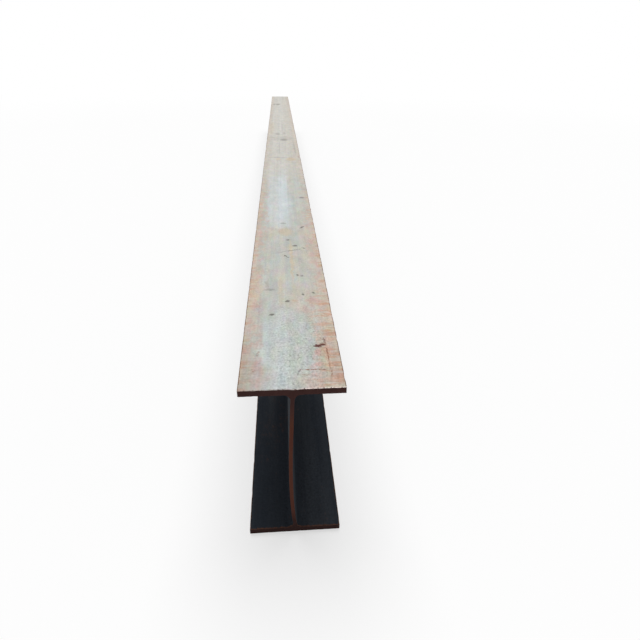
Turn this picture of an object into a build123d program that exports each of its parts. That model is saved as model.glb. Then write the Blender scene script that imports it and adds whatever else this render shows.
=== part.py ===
"""Hot-rolled steel H-beam, narrow-flange section 400 x 200 x 8 x 13, as a 6 m stock length.

The beam is rolled as one piece: two parallel flanges joined by a web, with a concave
fillet in each root and a small rounding on each flange toe. Both ends are sawn square.

Frame: X across the flanges, Y along the beam, Z up. The origin is at mid-length, at the
middle of the underside that the beam rests on. Lengths are in millimetres.
"""

import os

from build123d import *

# Rolled section
section_depth = 400.0
flange_width = 200.0
flange_thickness = 13.0
web_thickness = 8.0
root_radius = 13.0
toe_radius = 1.5

# Stock length between the sawn ends
beam_length = 6000.0


def distance_from_web_plane(corner):
    """How far a corner of the section lies from the plane through the middle of the web."""
    return abs(corner.X)


# H-beam: the section on the lengthwise mid-plane, drawn out to both sawn ends
with BuildPart() as h_beam:
    with BuildSketch(Plane.XZ) as section:
        # Lower flange, standing on the floor plane
        Rectangle(flange_width, flange_thickness, align=(Align.CENTER, Align.MIN))
        # Upper flange
        with Locations((0, section_depth)):
            Rectangle(flange_width, flange_thickness, align=(Align.CENTER, Align.MAX))
        # Web, from the outside of one flange to the outside of the other
        Rectangle(web_thickness, section_depth, align=(Align.CENTER, Align.MIN))

        corners = section.vertices().group_by(distance_from_web_plane)
        root_corners = corners[0]
        toe_corners = corners[-1]
        fillet(root_corners, root_radius)
        fillet(toe_corners, toe_radius)
    extrude(amount=beam_length / 2, both=True)

h_beam.part.label = "h_beam"

os.makedirs("parts", exist_ok=True)
export_step(h_beam.part, "parts/h_beam.step")
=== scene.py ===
"""Dresses the steel H-beam: its rolled skin, sawn ends and handling wear, on a plain pale stage.

Laid out as an add-on and run as a script. Lengths are in metres, apart from the finishes, which
measure places on the beam in mm. Near and far are the two sawn ends: the near one faces the camera.
"""

from collections import namedtuple
from math import pi, radians, sin

import bmesh
import bpy
from bpy.props import FloatProperty, FloatVectorProperty, PointerProperty
from bpy.types import Operator, Panel, PropertyGroup
from mathutils import Matrix, Vector


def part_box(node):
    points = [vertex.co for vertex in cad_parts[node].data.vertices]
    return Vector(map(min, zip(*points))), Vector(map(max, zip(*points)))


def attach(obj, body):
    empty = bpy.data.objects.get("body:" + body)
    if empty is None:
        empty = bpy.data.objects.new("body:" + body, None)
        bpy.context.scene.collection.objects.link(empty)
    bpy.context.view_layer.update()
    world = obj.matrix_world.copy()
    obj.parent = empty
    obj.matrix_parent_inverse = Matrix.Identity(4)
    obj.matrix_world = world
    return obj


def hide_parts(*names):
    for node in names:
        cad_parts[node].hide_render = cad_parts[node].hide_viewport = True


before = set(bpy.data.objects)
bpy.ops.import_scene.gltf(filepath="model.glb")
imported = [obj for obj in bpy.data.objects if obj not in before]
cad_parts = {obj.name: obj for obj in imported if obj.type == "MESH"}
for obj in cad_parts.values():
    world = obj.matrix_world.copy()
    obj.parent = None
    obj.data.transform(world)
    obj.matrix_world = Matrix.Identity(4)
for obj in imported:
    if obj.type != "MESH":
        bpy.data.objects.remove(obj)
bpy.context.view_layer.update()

bl_info = {
    "name": "Rolled H-beam",
    "version": (1, 0, 0),
    "blender": (4, 5, 0),
    "location": "3D View > Sidebar > H-beam",
    "description": "Models a weathered hot-rolled H-beam and the stage it is shown on",
    "category": "Add Mesh",
}

NODE = "h_beam"
BODY = "root"
MM = 0.001
TOUCH = 0.01 * MM
WHITE = (1.0, 1.0, 1.0)


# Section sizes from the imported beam

def read_section(corners):
    """Reads the rolled section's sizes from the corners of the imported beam."""
    low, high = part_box(NODE)
    half_width = high.x
    web_half = min(abs(corner.x) for corner in corners)
    outer = [corner for corner in corners if abs(corner.x) > half_width / 2]
    flange = max(corner.z for corner in outer if corner.z < high.z / 2)
    ledge_start = min(abs(corner.x) for corner in corners if abs(corner.z - flange) < TOUCH)
    sole_end = max(abs(corner.x) for corner in corners if corner.z < low.z + TOUCH)
    return {
        "length": high.y - low.y,
        "depth": high.z - low.z,
        "width": high.x - low.x,
        "flange": flange - low.z,
        "web": 2 * web_half,
        "root_radius": ledge_start - web_half,
        "toe_radius": half_width - sole_end,
    }


SECTION = read_section([vertex.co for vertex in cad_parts[NODE].data.vertices])


# What a user may change

def size(name, description, default):
    """A length of the beam or the stage."""
    return FloatProperty(name=name, description=description, default=default, min=0.0,
                         unit="LENGTH", precision=4)


def colour(name, description, default):
    """A finish's colour, as linear red, green and blue."""
    return FloatVectorProperty(name=name, description=description, default=default,
                               min=0.0, max=1.0, size=3, subtype="COLOR")


def level(name, description, default):
    """A strength with no unit."""
    return FloatProperty(name=name, description=description, default=default, min=0.0)


def angle(name, description, default):
    """An angle, given in degrees."""
    return FloatProperty(name=name, description=description, default=radians(default),
                         subtype="ANGLE")


class BeamSizes(PropertyGroup):
    """The rolled section, its stock length and how far wear has bent it."""

    length: size("Length", "Stock length between the sawn ends", SECTION["length"])
    depth: size("Depth", "Height of the section over both flanges", SECTION["depth"])
    width: size("Width", "Width of the flanges", SECTION["width"])
    flange: size("Flange thickness", "Thickness of both flanges", SECTION["flange"])
    web: size("Web thickness", "Thickness of the web", SECTION["web"])
    root_radius: size("Root radius", "Fillet between web and flange", SECTION["root_radius"])
    toe_radius: size("Toe radius", "Rounding on the flange toes", SECTION["toe_radius"])
    arris: size("Sawn arris", "Width of the worn edge round a sawn end", 0.4 * MM)
    web_bow: size("Web bow", "How far the web bows sideways at the near end", 6.3 * MM)
    bow_reach: size("Bow reach", "How far along the beam the web's bow fades out", 1.6)
    flange_wave: size("Flange wave", "How far the flange toes wave up and down", 0.5 * MM)
    toe_dent: size("Toe dents", "How deep handling has dented the toes", 1.2 * MM)
    saw_wander: size("Saw wander", "How deep the saw wandered into the ends", 1.1 * MM)
    burr: size("Saw burr", "How high the saw's burr stands on the upper edge", 0.5 * MM)
    chip_place: size("Chip place", "How far from the middle the near edge is chipped", 5 * MM)
    chip_reach: size("Chip reach", "How far the chip spreads", 9 * MM)
    chip_depth: size("Chip depth", "How deep the chip is", 1.8 * MM)


class BeamFinish(PropertyGroup):
    """The colours of mill scale, rust and sawn steel."""

    grey_scale: colour("Grey scale", "Weathered mill scale on the open flange faces",
                       (0.505, 0.535, 0.505))
    pale_scale: colour("Pale scale", "Smooth bluish mill scale along the middle",
                       (0.605, 0.65, 0.66))
    dusty_scale: colour("Dusty scale", "Mill scale under a veil of warm dust",
                        (0.55, 0.50, 0.43))
    far_pale_scale: colour("Bleached scale", "Pale warm mill scale towards the far end",
                           (0.585, 0.555, 0.50))
    rust_veil: colour("Rust veil", "Thin warm veil along the flange edges", (0.605, 0.515, 0.425))
    pink_rust: colour("Pink rust", "Soft patches in the veil", (0.565, 0.375, 0.34))
    orange_rust: colour("Orange rust", "Fresh rust in cross streaks and spots",
                        (0.57, 0.36, 0.265))
    ochre_rust: colour("Ochre rust", "Yellowish stains, some over the roots", (0.60, 0.49, 0.34))
    red_rust: colour("Red rust", "Deep rust in gouges", (0.11, 0.032, 0.026))
    rust_line: colour("Rust line", "Rust in thin scratches", (0.26, 0.115, 0.075))
    scuff: colour("Scuff", "Dark marks left by chains and tines", (0.12, 0.105, 0.095))
    # Partly painted shade: real blue-grey scale, painted near black as the channels look in their
    # shade
    dark_scale_and_shade: colour("Dark scale", "Blue-grey mill scale on the web and inside the flanges",
                       (0.020, 0.025, 0.033))
    worn_scale: colour("Worn scale", "Paler places on the dark scale", (0.32, 0.335, 0.34))
    brown_rust: colour("Brown rust", "Old rust on toes, roots and in patches",
                       (0.135, 0.055, 0.028))
    sawn_rust: colour("Sawn rust", "Rust on the sawn end of the web", (0.15, 0.05, 0.032))
    sawn_flange: colour("Sawn flange", "Darker rust on the sawn ends of the flanges",
                        (0.085, 0.037, 0.033))
    # Partly painted highlight: bare steel, lightened to the glint along the upper edge
    bare_burr_and_highlight: colour("Bare burr", "Bright steel along the saw's burr", (0.86, 0.76, 0.70))


class StageSetup(PropertyGroup):
    """The camera, the lamps and the floor."""

    camera_place: FloatVectorProperty(
        name="Camera place", description="Where the camera stands", subtype="XYZ",
        unit="LENGTH", size=3, default=(-0.009, -3.6775, 0.9366))
    camera_pitch: angle("Pitch", "How far the camera looks down", 29.97)
    camera_yaw: angle("Yaw", "How far the camera looks to the right of the beam", 4.86)
    camera_roll: angle("Roll", "How far the camera leans", 0.87)
    camera_lens: FloatProperty(name="Lens", description="Focal length on a 36 mm wide sensor",
                               default=26.45, subtype="DISTANCE_CAMERA")
    floor_size: size("Floor size", "Side of the square floor", 120.0)
    floor_colour: colour("Floor colour", "Plain pale floor", (0.60, 0.60, 0.59))
    floor_glow: level("Floor glow", "Share of plain white in the floor round the beam", 0.6)
    key_strength: level("Overhead lamp", "Strength of the wide soft lamp overhead", 2.8)
    key_spread: angle("Overhead spread", "How wide the overhead lamp looks from the beam", 50)
    key_height: angle("Overhead height", "How high the overhead lamp stands", 66)
    room_strength: level("Room light", "Strength of the even light from all round", 0.15)


# Modelling helpers

def deselect_all():
    """Leaves nothing selected, so that the next operator acts on its own piece alone."""
    if bpy.context.object and bpy.context.object.mode != "OBJECT":
        bpy.ops.object.mode_set(mode="OBJECT")
    bpy.ops.object.select_all(action="DESELECT")


def choose(piece, kind, wanted):
    """Selects the edges or faces of the piece in edit mode that pass the test."""
    bpy.ops.mesh.select_mode(type={"edges": "EDGE", "faces": "FACE"}[kind])
    bpy.ops.mesh.select_all(action="DESELECT")
    mesh = bmesh.from_edit_mesh(piece.data)
    chosen = [element for element in getattr(mesh, kind) if wanted(element)]
    if not chosen:
        raise RuntimeError(f"no {kind} of {piece.name} to select")
    for element in chosen:
        element.select_set(True)
    bmesh.update_edit_mesh(piece.data)


def runs_along(edge):
    """Whether an edge runs along the beam."""
    start, end = (vertex.co for vertex in edge.verts)
    return abs(start.x - end.x) < TOUCH and abs(start.z - end.z) < TOUCH


def middle(edge):
    """The middle of an edge."""
    return (edge.verts[0].co + edge.verts[1].co) / 2


def cut_through(place, normal):
    """Cuts the whole piece along a plane and keeps both sides."""
    bpy.ops.mesh.select_all(action="SELECT")
    bpy.ops.mesh.bisect(plane_co=place, plane_no=normal)


def spaced(start, end, step):
    """Evenly spaced places strictly between two ends, about one step apart."""
    count = max(round((end - start) / step), 1)
    return [start + (end - start) * number / count for number in range(1, count)]


# The beam's shape

ACROSS = (1, 0, 0)
ALONG = (0, 1, 0)
UP = (0, 0, 1)

FLANGE_STEP = 6 * MM
WEB_STEP = 14 * MM
LONG_STEP = 26 * MM
# Reach from each sawn end, and the step up to there
END_STEPS = ((20 * MM, 4 * MM), (120 * MM, 8 * MM), (620 * MM, 12 * MM))
ROOT_SEGMENTS = 6
TOE_SEGMENTS = 3
SMOOTH_BELOW = radians(32)
# Puts the deepest place of the web's bow at two fifths of its height
BOW_SKEW = 0.76


def add_web(sizes):
    """Adds the block that the section is drawn out of: the web at its full height."""
    deselect_all()
    bpy.ops.mesh.primitive_cube_add(size=1, calc_uvs=False, location=(0, 0, sizes.depth / 2))
    beam = bpy.context.object
    beam.name = "h_beam_rolled"
    beam.data.name = "h_beam_rolled"
    beam.scale = (sizes.web, sizes.length, sizes.depth)
    bpy.ops.object.transform_apply(location=True, rotation=True, scale=True)
    bpy.ops.object.mode_set(mode="EDIT")
    return beam


def draw_out_flanges(beam, sizes):
    """Extrudes the flanges out of the web to each side and merges what lies in one plane."""
    cut_through((0, 0, sizes.flange), UP)
    cut_through((0, 0, sizes.depth - sizes.flange), UP)
    half_depth = sizes.depth / 2
    for side in (-1, 1):
        choose(beam, "faces", lambda face: face.normal.x * side > 0.9
               and abs(face.calc_center_median().z - half_depth) > half_depth - sizes.flange)
        reach = side * (sizes.width - sizes.web) / 2
        bpy.ops.mesh.extrude_region_move(TRANSFORM_OT_translate={"value": (reach, 0, 0)})
    bpy.ops.mesh.select_all(action="SELECT")
    bpy.ops.mesh.dissolve_limited(angle_limit=radians(1))


def round_section(beam, sizes):
    """Fillets the four roots, rounds the eight toe edges and wears the sawn arrises."""
    half_web = sizes.web / 2
    choose(beam, "edges", lambda edge: runs_along(edge)
           and abs(abs(middle(edge).x) - half_web) < TOUCH
           and sizes.flange - TOUCH < middle(edge).z < sizes.depth - sizes.flange + TOUCH)
    bpy.ops.mesh.bevel(offset=sizes.root_radius, segments=ROOT_SEGMENTS, profile=0.5)
    choose(beam, "edges", lambda edge: runs_along(edge)
           and abs(middle(edge).x) > sizes.width / 2 - TOUCH)
    bpy.ops.mesh.bevel(offset=sizes.toe_radius, segments=TOE_SEGMENTS, profile=0.5)
    choose(beam, "edges", lambda edge: not runs_along(edge)
           and any(abs(face.normal.y) < 0.5 for face in edge.link_faces))
    bpy.ops.mesh.bevel(offset=sizes.arris, segments=1, profile=0.5)


def cut_section(sizes):
    """Cuts the flanges across their width and the web up its height."""
    flat_start = sizes.web / 2 + sizes.root_radius
    flat_end = sizes.width / 2 - sizes.toe_radius
    half = [*spaced(0, flat_start, FLANGE_STEP), flat_start,
            *spaced(flat_start, flat_end, FLANGE_STEP)]
    for place in [-place for place in half] + [0] + half:
        cut_through((place, 0, 0), ACROSS)
    clear = sizes.flange + sizes.root_radius
    for place in spaced(clear, sizes.depth - clear, WEB_STEP):
        cut_through((0, 0, place), UP)


def cut_length(beam, sizes):
    """Divides the skin along the beam, finer towards both sawn ends."""
    half_length = sizes.length / 2
    cut_through((0, 0, 0), ALONG)
    for reach, _ in END_STEPS:
        for side in (-1, 1):
            cut_through((0, side * (half_length - reach), 0), ALONG)
    start = sizes.arris
    for reach, step in (*END_STEPS, (half_length, LONG_STEP)):
        choose(beam, "edges", lambda edge: runs_along(edge)
               and start < half_length - abs(middle(edge).y) < reach)
        bpy.ops.mesh.subdivide(number_cuts=round((reach - start) / step) - 1)
        start = reach


# The beam's wear

def clouds(name, scale, contrast=1.0, brightness=1.0):
    """A cloud pattern from 0 to 1. With high contrast, less brightness leaves sparser patches."""
    pattern = bpy.data.textures.new(name, "CLOUDS")
    pattern.noise_scale = scale
    pattern.noise_depth = 2
    pattern.contrast = contrast
    pattern.intensity = brightness
    pattern.use_clamp = True
    return pattern


def push(beam, name, weight_of, direction, strength, pattern=None, still_level=0.0):
    """Displaces vertices by a weight from their place, evenly or by a pattern, and applies it."""
    group = beam.vertex_groups.new(name=name)
    for vertex in beam.data.vertices:
        weight = weight_of(vertex.co)
        if weight > 0.0:
            group.add([vertex.index], min(weight, 1.0), "REPLACE")
    modifier = beam.modifiers.new(name, "DISPLACE")
    modifier.vertex_group = group.name
    modifier.direction = direction
    modifier.strength = strength
    modifier.mid_level = still_level
    if pattern:
        modifier.texture = pattern
        modifier.texture_coords = "LOCAL"
    bpy.ops.object.modifier_apply(modifier=name)
    beam.vertex_groups.clear()


def wear_ends(beam, sizes):
    """Raises the saw's burr, chips the near edge and lets the saw wander into both ends."""
    near_edge = Vector((sizes.chip_place, -sizes.length / 2, sizes.depth))

    def at_end(place):
        return float(sizes.length / 2 - abs(place.y) < sizes.arris + TOUCH)

    def on_upper_edge(place):
        return at_end(place) if place.z > sizes.depth - TOUCH else 0.0

    def in_chip(place):
        return 1 - ((place - near_edge).length / sizes.chip_reach) ** 2

    push(beam, "saw burr", on_upper_edge, "Z", sizes.burr, clouds("burr", 6 * MM, 3.0, 0.8))
    push(beam, "edge chip", in_chip, "Z", -sizes.chip_depth)
    push(beam, "saw wander", at_end, "NORMAL", -sizes.saw_wander, clouds("wander", 8 * MM),
         still_level=0.3)


def wear_flanges(beam, sizes):
    """Dents the flange toes in places and waves the flanges gently."""
    half_width = sizes.width / 2

    def on_toe(place):
        return float(half_width - abs(place.x) < sizes.toe_radius + TOUCH)

    def towards_toe(place):
        return (place.x / half_width) ** 2

    push(beam, "toe dents", on_toe, "NORMAL", -sizes.toe_dent,
         clouds("dents", 22 * MM, contrast=4.0, brightness=0.3))
    push(beam, "flange wave", towards_toe, "Z", sizes.flange_wave, clouds("wave", 0.35),
         still_level=0.5)


def bow_web(beam, sizes):
    """Bows the web sideways at the near end, most at two fifths of its height."""
    web_foot = sizes.flange + sizes.root_radius
    web_height = sizes.depth - 2 * web_foot

    def in_web(place):
        share = (place.z - web_foot) / web_height
        if abs(place.x) > sizes.web or not 0 < share < 1:
            return 0.0
        fade = max(1 - (place.y + sizes.length / 2) / sizes.bow_reach, 0.0)
        return sin(pi * share ** BOW_SKEW) * fade ** 2

    push(beam, "web bow", in_web, "X", -sizes.web_bow)


# Shader nodes

class Wire:
    """An output socket that takes part in sums: each operator adds one Math node."""

    def __init__(self, bench, socket):
        self.bench = bench
        self.socket = socket

    def __add__(self, other):
        return self.bench.math("ADD", self, other)

    def __sub__(self, other):
        return self.bench.math("SUBTRACT", self, other)

    def __rsub__(self, other):
        return self.bench.math("SUBTRACT", other, self)

    def __mul__(self, other):
        return self.bench.math("MULTIPLY", self, other)

    def __abs__(self):
        return self.bench.math("ABSOLUTE", self)

    __radd__ = __add__
    __rmul__ = __mul__


class Bench:
    """A node tree, emptied, and the one way in which its nodes are added."""

    def __init__(self, tree):
        self.tree = tree
        tree.nodes.clear()

    def node(self, kind, settings=None, sockets=None, output=0):
        """Adds a node, sets its settings, then its socket values or links, and gives an output."""
        node = self.tree.nodes.new(kind)
        for name, value in (settings or {}).items():
            setattr(node, name, value)
        by_identifier = {socket.identifier: socket for socket in node.inputs}
        for name, value in (sockets or {}).items():
            socket = by_identifier[name] if name in by_identifier else node.inputs[name]
            if isinstance(value, Wire):
                self.tree.links.new(value.socket, socket)
            else:
                socket.default_value = value
        if not node.outputs:
            return None
        outputs = {socket.identifier: socket for socket in node.outputs}
        return Wire(self, outputs[output] if output in outputs else node.outputs[output])

    def math(self, operation, *values):
        """One Math node."""
        names = ("Value", "Value_001", "Value_002")
        return self.node("ShaderNodeMath", {"operation": operation}, dict(zip(names, values)))

    def vectors(self, operation, *values, output="Vector"):
        """One Vector Math node."""
        names = ("Vector", "Vector_001", "Vector_002")
        return self.node("ShaderNodeVectorMath", {"operation": operation},
                         dict(zip(names, values)), output)

    def most(self, first, second):
        """The larger of two masks."""
        return self.math("MAXIMUM", first, second)

    def ramp(self, value, low, high):
        """0 up to low, 1 from high on, and smooth between, or falling where low is over high."""
        return self.node("ShaderNodeMapRange", {"interpolation_type": "SMOOTHSTEP", "clamp": False},
                         {"Value": value, "From Min": low, "From Max": high})

    def band(self, value, centre, half_width, soft):
        """1 within half_width of the centre, fading to 0 over a soft edge."""
        return self.ramp(abs(value - centre), half_width + soft, half_width)

    def rgba(self, value):
        """A colour property as four numbers, or a wire as it is."""
        return value if isinstance(value, Wire) else (*value, 1.0)

    def mix(self, base, over, amount):
        """Lays one colour over another by an amount from 0 to 1."""
        return self.node("ShaderNodeMix", {"data_type": "RGBA", "clamp_factor": True},
                         {"Factor_Float": amount, "A_Color": self.rgba(base),
                          "B_Color": self.rgba(over)}, "Result_Color")

    def shade(self, base, amount):
        """Multiplies a colour by a value."""
        grey = self.node("ShaderNodeCombineColor", {},
                         {"Red": amount, "Green": amount, "Blue": amount})
        return self.node("ShaderNodeMix", {"data_type": "RGBA", "blend_type": "MULTIPLY"},
                         {"Factor_Float": 1.0, "A_Color": self.rgba(base), "B_Color": grey},
                         "Result_Color")

    def overlay(self, base, pattern, amount):
        """Lays a colour pattern about mid grey over a colour, which keeps its own level."""
        return self.node("ShaderNodeMix", {"data_type": "RGBA", "blend_type": "OVERLAY"},
                         {"Factor_Float": amount, "A_Color": self.rgba(base), "B_Color": pattern},
                         "Result_Color")

    def seen(self):
        """1 for camera, mirrored and refracted rays, which find the stage white."""
        mask = self.node("ShaderNodeLightPath", output="Is Camera Ray")
        for kind in ("Is Glossy Ray", "Is Transmission Ray"):
            mask = self.most(mask, self.node("ShaderNodeLightPath", output=kind))
        return mask


class SteelBench(Bench):
    """The node tree of one of the beam's finishes, with places on the beam as wires in mm."""

    # How far inside the flanges' outer faces the open finish ends
    SHOULDER = (3.5, 2.0)

    def __init__(self, name, sizes):
        self.material = bpy.data.materials.new(name)
        self.material.use_nodes = True
        super().__init__(self.material.node_tree)
        metres = self.node("ShaderNodeTexCoord", output="Object")
        self.place = self.node("ShaderNodeVectorMath", {"operation": "SCALE"},
                               {"Vector": metres, "Scale": 1 / MM})
        self.across, lengthwise, self.height = (
            self.node("ShaderNodeSeparateXYZ", sockets={"Vector": self.place}, output=axis)
            for axis in "XYZ")
        half_length, half_depth, half_width = (
            side / 2 / MM for side in (sizes.length, sizes.depth, sizes.width))
        self.along = lengthwise + half_length
        self.from_end = half_length - abs(lengthwise)
        self.inset = half_width - abs(self.across)
        shoulder = [half_depth - below for below in self.SHOULDER]
        self.outside = self.ramp(abs(self.height - half_depth), *shoulder)
        self.top = self.ramp(self.height - half_depth, *shoulder)

    def grain(self, size_mm, detail=2.0, roughness=0.5, shift=0.0, output="Fac"):
        """Noise about 0.5 whose blotches measure size_mm along X, Y and Z, grey or in colour."""
        stretch = tuple(1 / side for side in size_mm)
        stretched = self.vectors("MULTIPLY_ADD", self.place, stretch, (shift,) * 3)
        return self.node("ShaderNodeTexNoise", {"noise_dimensions": "3D"},
                         {"Vector": stretched, "Scale": 1.0, "Detail": detail,
                          "Roughness": roughness}, output)

    def ragged_plan(self, size_mm, reach_mm):
        """The place on a flange seen from above, shaken so that marks get ragged edges."""
        shake = self.node("ShaderNodeTexNoise", {"noise_dimensions": "3D"},
                          {"Vector": self.place, "Scale": 1 / size_mm, "Detail": 3.0,
                           "Roughness": 0.6}, "Color")
        corner = self.node("ShaderNodeCombineXYZ", {}, {"X": self.across - reach_mm,
                                                        "Y": self.along - reach_mm})
        return self.vectors("MULTIPLY_ADD", shake, (2 * reach_mm, 2 * reach_mm, 0.0), corner)

    def marks(self, plan, marks):
        """One mask of several oval marks on the plan view of a flange."""
        # Vector Math, because this many Mapping nodes overfill the renderer's stack
        mask = 0.0
        for mark in marks:
            centre = Vector((mark.across, mark.along, 0.0))
            shrink = Vector((2 / mark.wide, 2 / mark.long, 0.0))
            turned = plan
            if mark.turn:
                turned = self.node("ShaderNodeVectorRotate",
                                   {"rotation_type": "Z_AXIS", "invert": True},
                                   {"Vector": plan, "Center": centre, "Angle": radians(mark.turn)})
            rounded = self.vectors("MULTIPLY", turned, shrink)
            far = self.vectors("DISTANCE", rounded, centre * shrink, output="Value")
            mask = self.most(self.ramp(far, 1.2, 0.5) * mark.strength, mask)
        return mask

    def finish(self, base, roughness, height, bump_depth, gloss):
        """Ends the tree in one Principled shader with a bump."""
        bump = self.node("ShaderNodeBump", {}, {"Strength": 1.0, "Distance": bump_depth,
                                                "Height": height}, "Normal")
        shader = self.node("ShaderNodeBsdfPrincipled", {},
                           {"Base Color": base, "Roughness": roughness, "Normal": bump,
                            "Specular IOR Level": gloss})
        self.node("ShaderNodeOutputMaterial", {}, {"Surface": shader})
        return self.material


# Marks on the upper flange

# Middle and size in mm, turn in degrees. Along is measured from the near end.
Mark = namedtuple("Mark", "across along wide long turn strength", defaults=(0.0, 1.0))

RUST_BLOOMS = (
    Mark(-78, 40, 80, 120, strength=0.6),
    Mark(66, 20, 110, 60, strength=0.7),
    Mark(44, 350, 110, 170, strength=0.5),
    Mark(-84, 430, 40, 340, strength=0.9),
    Mark(60, 860, 70, 170, strength=0.35),
    Mark(-50, 850, 70, 120, strength=0.35),
    Mark(86, 700, 44, 380, strength=0.8),
)
OCHRE_STAINS = (
    Mark(-18, 410, 14, 220, strength=0.5),
    Mark(14, 610, 11, 360, strength=0.85),
    Mark(2, 850, 52, 90, strength=0.9),
    Mark(46, 2055, 60, 100),
    Mark(-24, 2060, 34, 80, strength=0.6),
    Mark(-70, 3250, 40, 700, strength=0.4),
)
ORANGE_SPOTS = (
    Mark(76, 108, 13, 120, strength=0.6),
    Mark(58, 26, 60, 10, strength=0.7),
    Mark(84, 168, 30, 16, strength=0.8),
    Mark(74, 232, 44, 16, strength=0.8),
    Mark(76, 268, 46, 9, strength=0.8),
    Mark(72, 330, 50, 14, strength=0.6),
    Mark(78, 368, 40, 10, strength=0.7),
    Mark(13, 349, 22, 6, strength=0.6),
    Mark(90, 1268, 24, 22, strength=0.7),
)
PINK_SPOTS = (
    Mark(54, 122, 18, 22),
    Mark(56, 78, 15, 16, strength=0.8),
    Mark(-78, 226, 40, 20, strength=0.3),
    Mark(-70, 150, 22, 40, strength=0.35),
    Mark(-66, 96, 20, 30, strength=0.35),
    Mark(64, 345, 50, 26, strength=0.7),
    Mark(40, 300, 20, 60, strength=0.4),
)
DARK_SCUFFS = (
    Mark(-40, 281, 14, 8, turn=28),
    Mark(-3, 346, 12, 13),
    Mark(36, 381, 8, 13),
    Mark(64, 389, 8, 12),
    Mark(-48, 413, 24, 13, strength=0.4),
    Mark(-54, 440, 11, 60, turn=6, strength=0.25),
    Mark(27, 499, 10, 13),
    Mark(39, 492, 8, 10, strength=0.9),
    Mark(-5, 639, 9, 12),
    Mark(27, 720, 18, 15, turn=30),
    Mark(6, 771, 11, 15),
    Mark(57, 895, 12, 28, turn=-30),
    Mark(-8, 938, 24, 18, strength=0.5),
    Mark(72, 1268, 24, 26, strength=0.8),
    Mark(-34, 2100, 130, 24, strength=0.3),
    Mark(77, 2380, 12, 420, strength=0.25),
    Mark(-16, 2400, 12, 480, strength=0.22),
    Mark(14, 2700, 60, 100, strength=0.6),
    Mark(0, 2750, 170, 200, strength=0.16),
    Mark(-70, 2800, 60, 50, strength=0.25),
    Mark(-27, 2950, 34, 120, strength=0.35),
    Mark(17, 2980, 28, 100, strength=0.25),
    Mark(8, 3350, 12, 1000, strength=0.2),
    Mark(-66, 5020, 36, 150, strength=0.5),
    Mark(-26, 5020, 54, 160, strength=0.65),
)
DARK_LINES = (
    Mark(16, 57, 3.5, 38, turn=-23, strength=0.6),
    Mark(-44, 409, 36, 4, strength=0.6),
    Mark(1, 630, 22, 5, turn=-49),
    Mark(16, 680, 104, 4, turn=22),
    Mark(53, 699, 26, 4, turn=-54, strength=0.8),
)
RUST_LINES = (
    Mark(75, 112, 3, 120, turn=1, strength=0.85),
    Mark(77, 48, 4, 30, turn=-2, strength=0.6),
    Mark(46, 60, 70, 4, strength=0.9),
    Mark(32, 43, 46, 4, turn=-6, strength=0.5),
    Mark(46, 20, 60, 4, turn=4, strength=0.3),
    Mark(-66, 120, 7, 22, turn=-8, strength=0.5),
    Mark(-73, 62, 10, 12, strength=0.6),
)
RED_GOUGES = (
    Mark(58, 143, 22, 13),
    Mark(67, 147, 14, 14),
    Mark(72, 163, 5, 26, turn=5, strength=0.6),
)


# Finishes

# Where a finish sets in, or ends, in mm from the near end
DUST_STARTS = (200.0, 420.0)
PALE_STRETCH_STARTS = (820.0, 1060.0)
FAR_PALE_STARTS = (1480.0, 1900.0)
# Where the web's painted shade thins out and its wear sets in
WEB_SHADE_FADE_AND_WEAR_STARTS = (400.0, 1800.0)
VEIL_THINS = (1150.0, 1700.0)
VEIL_DARK_ENDS = (330.0, 60.0)
VEIL_DEEP_ENDS = (130.0, 40.0)
VEIL_RIGHT_DEEP_ENDS = (480.0, 300.0)
SMOOTH_ENDS = (360.0, 200.0)
SPECKLE_ENDS = (420.0, 160.0)
# How far in from their edge, in mm, rust and burr end
TOE_RUST_ENDS = (2.2, 0.6)
RIM_RUST_ENDS = (5.0, 1.0)
BURR_ENDS = (4.5, 1.5)


def mill_scale(bench, finish):
    """Grey scale near the sawn end, a pale stretch further on, then paler warm scale to the far end.
    """
    cloud = bench.grain((90, 260, 90), 4.0, 0.6, shift=3.0)
    roll = bench.grain((16, 1600, 16), 3.0, 0.6, shift=7.0)
    along = bench.along + (cloud - 0.5) * 420.0
    haze = bench.ramp(cloud * 0.5 + roll * 0.5, 0.38, 0.62)
    base = bench.mix(finish.grey_scale, finish.dusty_scale,
                     haze * bench.ramp(along, *DUST_STARTS) * 0.65)
    stretch = bench.ramp(along, *PALE_STRETCH_STARTS)
    broad = bench.band(bench.across + (cloud - 0.5) * 40.0, -24.0, 34.0, 26.0)
    strip = bench.ramp(bench.across, -36.0, -16.0) * bench.ramp(bench.across, 14.5, 11.0)
    smooth = bench.ramp(along, *SMOOTH_ENDS) * bench.band(bench.across, -34.0, 14.0, 26.0)
    base = bench.mix(base, finish.pale_scale, stretch * (broad * 0.6 + strip * 0.45) + smooth * 0.3)
    base = bench.mix(base, finish.far_pale_scale, bench.ramp(along, *FAR_PALE_STARTS) * 0.8)
    return bench.shade(base, 1.0 + (roll - 0.5) * 0.3)


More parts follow.
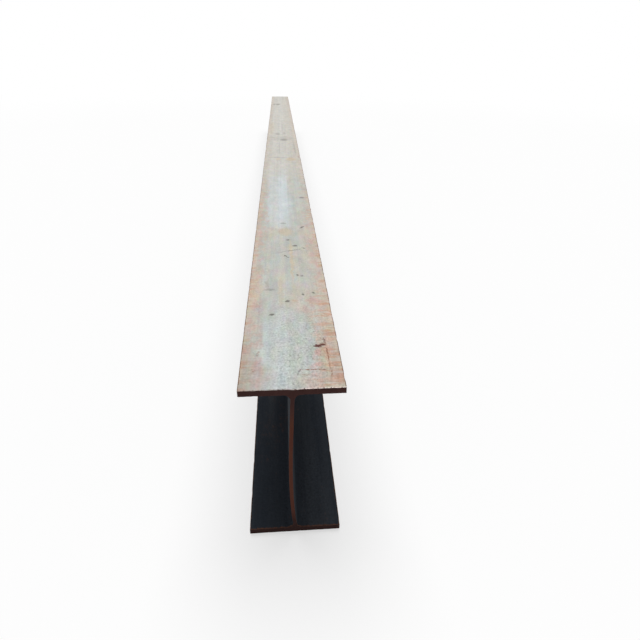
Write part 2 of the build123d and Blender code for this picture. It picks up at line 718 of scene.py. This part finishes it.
def edge_rust(bench, finish, base):
    """Lays a soft veil in from the flange edges, with pink patches and orange cross streaks in it."""
    cloud = bench.grain((70, 190, 70), 3.0, 0.6, shift=23.0)
    mottle = bench.grain((18, 30, 18), 5.0, 0.62, shift=11.0)
    right = bench.ramp(bench.across, -10.0, 10.0)
    near = bench.ramp(bench.along, *VEIL_DARK_ENDS)
    fade = bench.ramp(bench.along + right * 400.0, *VEIL_THINS)
    reach = (33.0 + right * 5.0 + bench.ramp(bench.along, *VEIL_DEEP_ENDS) * 12.0
             + bench.ramp(bench.along, *VEIL_RIGHT_DEEP_ENDS) * right * 12.0)
    depth = reach - bench.inset + (mottle - 0.5) * 46.0 + (cloud - 0.5) * 40.0
    bloom = bench.marks(bench.ragged_plan(40.0, 30.0), RUST_BLOOMS) * bench.top
    veil = bench.most(bench.ramp(depth, -8.0, 42.0), bloom) * (1.0 - fade * 0.6)
    base = bench.mix(base, finish.rust_veil, veil * 0.9)
    edge = bench.ramp(depth, 4.0, 36.0) * (1.0 - fade * 0.7)
    rim = bench.band(depth, 14.0, 6.0, 18.0) * (1.0 - fade * 0.8)
    base = bench.mix(base, finish.pink_rust, bench.ramp(mottle, 0.44, 0.62) * rim * 0.45)
    streaks = bench.ramp(bench.grain((54, 14, 54), 4.0, 0.62, shift=5.0), 0.47, 0.62)
    base = bench.mix(base, finish.orange_rust, streaks * edge * (0.62 + right * 0.28))
    # Painted shade: short dark marks across the veil stand for the shade in small dents at the edge
    dent_shade_ticks = bench.ramp(bench.grain((28, 3, 28), 2.0, 0.6, shift=27.0), 0.60, 0.72)
    base = bench.mix(base, finish.scuff, dent_shade_ticks * edge * 0.22)
    shade = 1.0 - near * veil * (0.18 - right * 0.11) + (mottle - 0.5) * veil * 0.35
    return bench.shade(base, shade), veil


def shaded_inner_face(bench, finish):
    """Web and inner flange faces: dark scale with painted shade by the near end, giving way to worn,
    rust-patched scale further on.
    """
    area = bench.grain((200, 420, 110), 4.0, 0.6, shift=62.0)
    broken = bench.grain((9, 15, 9), 5.0, 0.7, shift=4.0)
    # Painted shade: the faces stay near black by the near end and lighten into worn scale further
    # along
    shade_fade_and_weather = bench.ramp(bench.along + (area - 0.5) * 900.0, *WEB_SHADE_FADE_AND_WEAR_STARTS)
    streaks = bench.grain((30, 760, 30), 4.0, 0.6, shift=17.0)
    worn = bench.ramp(streaks * 0.6 + area * 0.25 + broken * 0.15, 0.38, 0.64)
    base = bench.mix(finish.dark_scale_and_shade, finish.worn_scale,
                     worn * 0.05 + shade_fade_and_weather * (0.22 + worn * 0.5))
    patches = bench.ramp(area * 0.65 + broken * 0.35 + shade_fade_and_weather * 0.03, 0.56, 0.65)
    freckles = bench.ramp(bench.grain((8, 12, 8), 3.0, 0.6, shift=37.0), 0.64, 0.74)
    rust = bench.most(patches, freckles * 0.5) * (0.3 + shade_fade_and_weather * 0.7)
    return bench.mix(base, finish.brown_rust, rust * 0.8), rust


def handling_marks(bench, finish, base):
    """Lays the upper flange's stains, scuffs, scratches and gouges, ragged at their edges."""
    stains = bench.ragged_plan(18.0, 13.0)
    blots = bench.ragged_plan(7.0, 6.5)
    hairlines = bench.ragged_plan(9.0, 3.0)
    broken = bench.ramp(bench.grain((7, 7, 7), 3.0, 0.6, shift=43.0), 0.36, 0.56)
    for tint, mask in ((finish.ochre_rust, bench.marks(stains, OCHRE_STAINS) * 0.7),
                       (finish.orange_rust, bench.marks(stains, ORANGE_SPOTS) * 0.7),
                       (finish.pink_rust, bench.marks(stains, PINK_SPOTS) * 0.85),
                       (finish.scuff, bench.marks(blots, DARK_SCUFFS) * 0.75),
                       (finish.scuff, bench.marks(hairlines, DARK_LINES) * broken),
                       (finish.rust_line, bench.marks(hairlines, RUST_LINES) * broken),
                       (finish.red_rust, bench.marks(blots, RED_GOUGES) * 0.95)):
        base = bench.mix(base, tint, mask * bench.top)
    return base


def worn_edges(bench, finish, base, chips):
    """Rusts the toes and the rims of the ends, and lays the saw's burr: bare steel with a painted
    highlight towards the right, and dark nicks.
    """
    toe = bench.ramp(bench.inset + (chips - 0.5) * 4.0, *TOE_RUST_ENDS)
    rim = bench.ramp(bench.from_end + (chips - 0.5) * 10.0, *RIM_RUST_ENDS) * (1.0 - bench.outside)
    base = bench.mix(base, finish.brown_rust, bench.most(toe * 0.9, rim * 0.65))
    burr = bench.ramp(bench.from_end + (chips - 0.5) * 8.0, *BURR_ENDS) * bench.top
    # Painted highlight: the burr is lightest on the right half of the edge
    highlight_side = bench.ramp(bench.across + (chips - 0.5) * 70.0, -10.0, 30.0)
    nicks = bench.ramp(bench.grain((5, 9, 5), 3.0, 0.6, shift=57.0), 0.55, 0.60)
    for tint, mask in ((finish.rust_line, burr * 0.3), (finish.bare_burr_and_highlight, burr * highlight_side * 0.9),
                       (finish.sawn_flange, burr * nicks * 0.9)):
        base = bench.mix(base, tint, mask)
    return base, toe


def rolled_skin(finish, sizes):
    """Mill scale on every rolled face: weathered pale outside, dark inside with painted shade, rusty
    at the toes.
    """
    bench = SteelBench("rolled_skin", sizes)
    open_colour, open_rust = edge_rust(bench, finish, mill_scale(bench, finish))
    inner_colour, inner_rust = shaded_inner_face(bench, finish)
    base = bench.mix(inner_colour, open_colour, bench.outside)
    rust = inner_rust + (open_rust - inner_rust) * bench.outside
    chips = bench.grain((5, 12, 5), 4.0, 0.65, shift=2.0)
    base, toe = worn_edges(bench, finish, base, chips)
    rust = bench.most(rust, toe)
    hues = bench.grain((17, 44, 17), 4.0, 0.6, shift=51.0, output="Color")
    base = bench.overlay(base, hues, bench.outside * 0.18)
    base = handling_marks(bench, finish, base)

    near = bench.ramp(bench.along, *SPECKLE_ENDS)
    speckled = near * bench.band(bench.across, 20.0, 34.0, 44.0)
    fine_streak = bench.grain((4, 900, 4), 3.0)
    speckle = bench.grain((4.5, 6.5, 4.5), 4.0, 0.72)
    ripple = bench.grain((15, 3.5, 15), 2.0, 0.6, shift=71.0)
    pits = bench.ramp(bench.grain((6, 8, 6), 2.0, 0.6, shift=41.0), 0.60, 0.70)
    smudge = bench.grain((24, 60, 24), 4.0, 0.6, shift=31.0)
    shade = (1.0 + (speckle - 0.5) * (0.65 + speckled * 0.7) + (ripple - 0.5) * near * 0.4
             + (fine_streak - 0.5) * 0.14 + (smudge - 0.5) * 0.42
             - pits * (0.06 + speckled * 0.18) + speckled * 0.02)
    base = bench.shade(base, shade)
    roughness = 0.62 + rust * 0.22 + (speckle - 0.5) * 0.25 + (1.0 - bench.outside) * 0.25
    height = speckle * 0.8 + chips * 0.5 + rust * 0.4 + fine_streak * 0.4 - pits * 0.5
    return bench.finish(base, roughness, height, bump_depth=0.35 * MM, gloss=0.1)


def sawn_steel(finish, sizes):
    """The sawn ends: red-brown rust over fine saw lines, darker on the flanges, with painted shade at
    the bottom.
    """
    bench = SteelBench("sawn_steel", sizes)
    stain = bench.grain((26, 26, 34), 4.0, 0.6)
    lines = bench.grain((160, 40, 1.3), 2.0, 0.6)
    pits = bench.grain((2, 2, 2), 3.0, 0.7)
    half_depth = sizes.depth / 2 / MM
    from_middle = abs(bench.height - half_depth) + (stain - 0.5) * 60.0
    # Painted shade: the ends darken towards the bottom, where the lower flange's end lies in shade
    painted_foot_shade = bench.ramp(bench.height, 70.0, 5.0)
    base = bench.mix(finish.sawn_rust, finish.brown_rust, bench.ramp(stain, 0.45, 0.75) * 0.6)
    base = bench.mix(base, finish.sawn_flange,
                     bench.ramp(from_middle, half_depth - 90.0, half_depth - 30.0))
    base = bench.shade(base, (0.75 + stain * 0.5 + (lines - 0.5) * 0.35 + (pits - 0.5) * 0.5)
                       * (1.0 - painted_foot_shade * 0.45))
    roughness = 0.75 + (pits - 0.5) * 0.2
    height = lines * 0.6 + pits * 0.6
    return bench.finish(base, roughness, height, bump_depth=0.3 * MM, gloss=0.12)


class MESH_OT_roll_h_beam(Operator):
    """Model the rolled beam with its fillets, toes, sawn ends and wear, and give it its finish"""

    bl_idname = "mesh.roll_h_beam"
    bl_label = "Roll H-beam"
    bl_options = {"REGISTER", "UNDO"}

    def execute(self, context):
        sizes = context.scene.beam_sizes
        finish = context.scene.beam_finish
        beam = add_web(sizes)
        draw_out_flanges(beam, sizes)
        round_section(beam, sizes)
        cut_section(sizes)
        cut_length(beam, sizes)
        beam.data.materials.append(rolled_skin(finish, sizes))
        beam.data.materials.append(sawn_steel(finish, sizes))
        choose(beam, "faces", lambda face: abs(face.normal.y) > 0.5)
        beam.active_material_index = 1
        bpy.ops.object.material_slot_assign()
        bpy.ops.object.mode_set(mode="OBJECT")
        wear_ends(beam, sizes)
        wear_flanges(beam, sizes)
        bow_web(beam, sizes)
        bpy.ops.object.shade_smooth_by_angle(angle=SMOOTH_BELOW)
        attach(beam, BODY)
        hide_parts(NODE)
        return {"FINISHED"}


# The stage

# Keeps the floor clear of the beam's underside
FLOOR_DROP = 0.5 * MM
# How far from the middle of the beam the floor turns plain white
FLOOR_FADE = (4.0, 9.0)
LAMP_PLACE = (0, 0, 4)
SENSOR_WIDTH_MM = 36.0
CLIP_START = 0.05


def pale_floor(stage):
    """A plain pale floor that looks white to the camera and keeps the beam's shadow."""
    material = bpy.data.materials.new("pale_floor")
    material.use_nodes = True
    bench = Bench(material.node_tree)
    seen = bench.seen()
    plain = bench.node("ShaderNodeBsdfDiffuse", {},
                       {"Color": bench.mix(stage.floor_colour, WHITE, seen)})
    glow = bench.node("ShaderNodeEmission", {}, {"Color": (*WHITE, 1.0), "Strength": 1.0})
    place = bench.node("ShaderNodeTexCoord", output="Object")
    away = bench.vectors("LENGTH", place, output="Value")
    share = stage.floor_glow + bench.ramp(away, *FLOOR_FADE) * (1 - stage.floor_glow)
    surface = bench.node("ShaderNodeMixShader", {},
                         {"Fac": seen * share, "Shader": plain, "Shader_001": glow})
    bench.node("ShaderNodeOutputMaterial", {}, {"Surface": surface})
    return material


def add_floor(stage):
    """Adds the floor that the beam stands on."""
    deselect_all()
    bpy.ops.mesh.primitive_plane_add(size=stage.floor_size, location=(0, 0, -FLOOR_DROP))
    floor = bpy.context.object
    floor.name = "floor"
    bpy.ops.object.transform_apply(location=True, rotation=True, scale=True)
    floor.data.materials.append(pale_floor(stage))


def light_room(stage):
    """An even, plain room light that looks white to the camera and in reflections."""
    world = bpy.data.worlds.new("room")
    world.use_nodes = True
    bpy.context.scene.world = world
    bench = Bench(world.node_tree)
    room, backdrop = (
        bench.node("ShaderNodeBackground", {}, {"Color": (*WHITE, 1.0), "Strength": strength})
        for strength in (stage.room_strength, 1.0))
    surface = bench.node("ShaderNodeMixShader", {},
                         {"Fac": bench.seen(), "Shader": room, "Shader_001": backdrop})
    bench.node("ShaderNodeOutputWorld", {}, {"Surface": surface})


def add_overhead_lamp(stage):
    """Adds the wide soft lamp above and beyond the far end."""
    tilt = -(pi / 2 - stage.key_height)
    bpy.ops.object.light_add(type="SUN", location=LAMP_PLACE, rotation=(tilt, 0, 0))
    lamp = bpy.context.object
    lamp.name = "overhead_lamp"
    lamp.data.energy = stage.key_strength
    lamp.data.angle = stage.key_spread


def add_camera(stage):
    """Adds the camera where the photograph was taken from."""
    turned = (Matrix.Rotation(-stage.camera_yaw, 3, "Z")
              @ Matrix.Rotation(pi / 2 - stage.camera_pitch, 3, "X")
              @ Matrix.Rotation(stage.camera_roll, 3, "Z"))
    bpy.ops.object.camera_add(location=stage.camera_place, rotation=turned.to_euler())
    camera = bpy.context.object
    camera.name = "camera"
    camera.data.lens = stage.camera_lens
    camera.data.sensor_width = SENSOR_WIDTH_MM
    camera.data.clip_start = CLIP_START
    bpy.context.scene.camera = camera


class SCENE_OT_set_beam_stage(Operator):
    """Set the floor, the lamps and the camera round the beam"""

    bl_idname = "scene.set_beam_stage"
    bl_label = "Set the stage"
    bl_options = {"REGISTER", "UNDO"}

    def execute(self, context):
        stage = context.scene.beam_stage
        add_floor(stage)
        light_room(stage)
        add_overhead_lamp(stage)
        add_camera(stage)
        context.scene.view_settings.view_transform = "Standard"
        return {"FINISHED"}


class VIEW3D_PT_h_beam(Panel):
    """Lists the beam's sizes, its colours and the stage"""

    bl_label = "H-beam"
    bl_space_type = "VIEW_3D"
    bl_region_type = "UI"
    bl_category = "H-beam"

    def draw(self, context):
        scene = context.scene
        groups = ((scene.beam_sizes, None), (scene.beam_finish, MESH_OT_roll_h_beam),
                  (scene.beam_stage, SCENE_OT_set_beam_stage))
        for group, operator in groups:
            column = self.layout.column(align=True)
            for name in group.__annotations__:
                column.prop(group, name)
            if operator:
                self.layout.operator(operator.bl_idname)


GROUPS = {"beam_sizes": BeamSizes, "beam_finish": BeamFinish, "beam_stage": StageSetup}
CLASSES = (*GROUPS.values(), MESH_OT_roll_h_beam, SCENE_OT_set_beam_stage, VIEW3D_PT_h_beam)


def register():
    """Adds the classes, and the groups as properties of the scene."""
    for cls in CLASSES:
        bpy.utils.register_class(cls)
    for name, group in GROUPS.items():
        setattr(bpy.types.Scene, name, PointerProperty(type=group))


def unregister():
    """Takes away what register added."""
    for name in GROUPS:
        delattr(bpy.types.Scene, name)
    for cls in reversed(CLASSES):
        bpy.utils.unregister_class(cls)


def main():
    """Makes the beam and the stage."""
    register()
    bpy.ops.mesh.roll_h_beam()
    bpy.ops.scene.set_beam_stage()


if __name__ == "__main__":
    main()
